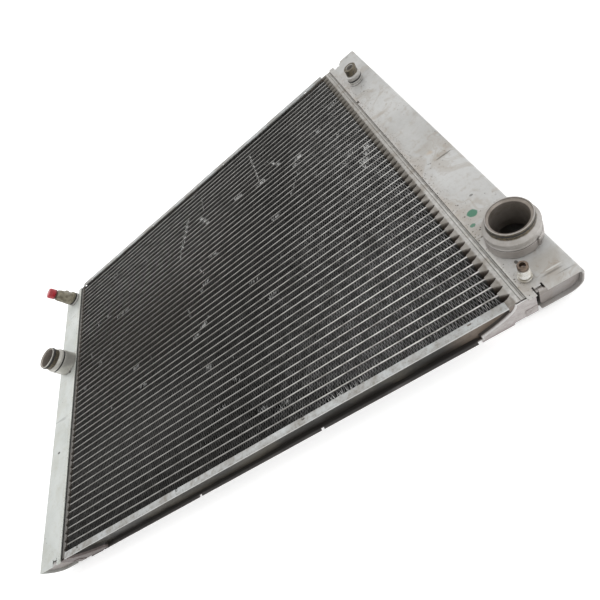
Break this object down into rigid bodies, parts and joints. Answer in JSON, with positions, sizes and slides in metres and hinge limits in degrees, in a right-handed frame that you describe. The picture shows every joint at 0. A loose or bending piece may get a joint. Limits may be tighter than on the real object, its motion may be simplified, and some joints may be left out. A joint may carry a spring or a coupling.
{
  "type": "hydraulic oil cooler",
  "caption": "Brazed all-aluminium cross-flow oil cooler with two side tanks, hose necks, a capped stub and a bleed screw, lying on its back.",
  "frame": {"origin": "middle of the box on the plane that the back flanges rest on", "axes": "+X along the tubes from the left tank to the right tank, +Y across the tubes from the near side plate to the far one, +Z out of the front face, which carries the hose necks"},
  "size_m": [0.6928, 0.4752, 0.0837],
  "materials": {
    "tank_aluminium": "sand-dull mill finish with beige blotches, dents and scratches",
    "core_aluminium": "brazed aluminium, dark with dust and oil between the fins",
    "header_aluminium": "brazed aluminium, dull, brown in the pockets",
    "end_cap_aluminium": "dull pressed sheet",
    "side_plate_aluminium": "dull pressed sheet, brown stains on the web",
    "port_aluminium": "turned aluminium, brown oxide in the grooves",
    "cast_aluminium": "olive-brown casting",
    "plated_steel": "bright plated steel",
    "seal_rubber": "matt black rubber",
    "cap_plastic": "glossy red moulded plastic"
  },
  "bodies": {
    "root": {"far_fin_strip": "core_aluminium", "far_side_plate": "side_plate_aluminium", "left_header": "header_aluminium", "left_port_base": "port_aluminium", "left_port_gasket": "seal_rubber", "left_port_neck": "port_aluminium", "left_port_o_ring": "seal_rubber", "left_tank": "tank_aluminium", "left_tank_far_cap": "end_cap_aluminium", "left_tank_near_cap": "end_cap_aluminium", "near_side_plate": "side_plate_aluminium", "right_header": "header_aluminium", "right_port_base": "port_aluminium", "right_port_neck": "port_aluminium", "right_port_o_ring": "seal_rubber", "right_tank": "tank_aluminium", "right_tank_far_cap": "end_cap_aluminium", "right_tank_near_cap": "end_cap_aluminium", "spigot": "port_aluminium", "spigot_base": "port_aluminium", "spigot_o_ring": "seal_rubber", "stub_base": "port_aluminium", "stub_fitting": "cast_aluminium", "stub_gasket": "seal_rubber", "tube_bank_01": "core_aluminium", "tube_bank_02": "core_aluminium", "tube_bank_03": "core_aluminium", "tube_bank_04": "core_aluminium", "tube_bank_05": "core_aluminium", "tube_bank_06": "core_aluminium", "tube_bank_07": "core_aluminium", "tube_bank_08": "core_aluminium", "tube_bank_09": "core_aluminium", "tube_bank_10": "core_aluminium", "tube_bank_11": "core_aluminium", "tube_bank_12": "core_aluminium", "vent_boss": "plated_steel"},
    "stub_cap": {"transport_cap": "cap_plastic"},
    "vent_seal_carrier": {"vent_seal": "seal_rubber"},
    "vent_screw_body": {"vent_screw": "plated_steel"}
  },
  "joints": [
    {"name": "cap_pull", "type": "slide", "parent": "root", "child": "stub_cap", "axis": [-0.2079, 0, 0.9781], "range_m": [0, 0.012]},
    {"name": "vent_lift", "type": "slide", "parent": "root", "child": "vent_seal_carrier", "axis": [0, 0, 1], "range_m": [0, 0.0025]},
    {"name": "vent_turn", "type": "hinge", "parent": "vent_seal_carrier", "child": "vent_screw_body", "pos_m": [0.30915, -0.2196, 0.037], "axis": [0, 0, 1], "range_deg": [0, 720]}
  ],
  "couplings": [
    {"joint": "vent_turn", "follows": "vent_lift", "rad_per_m": 5026.5}
  ]
}
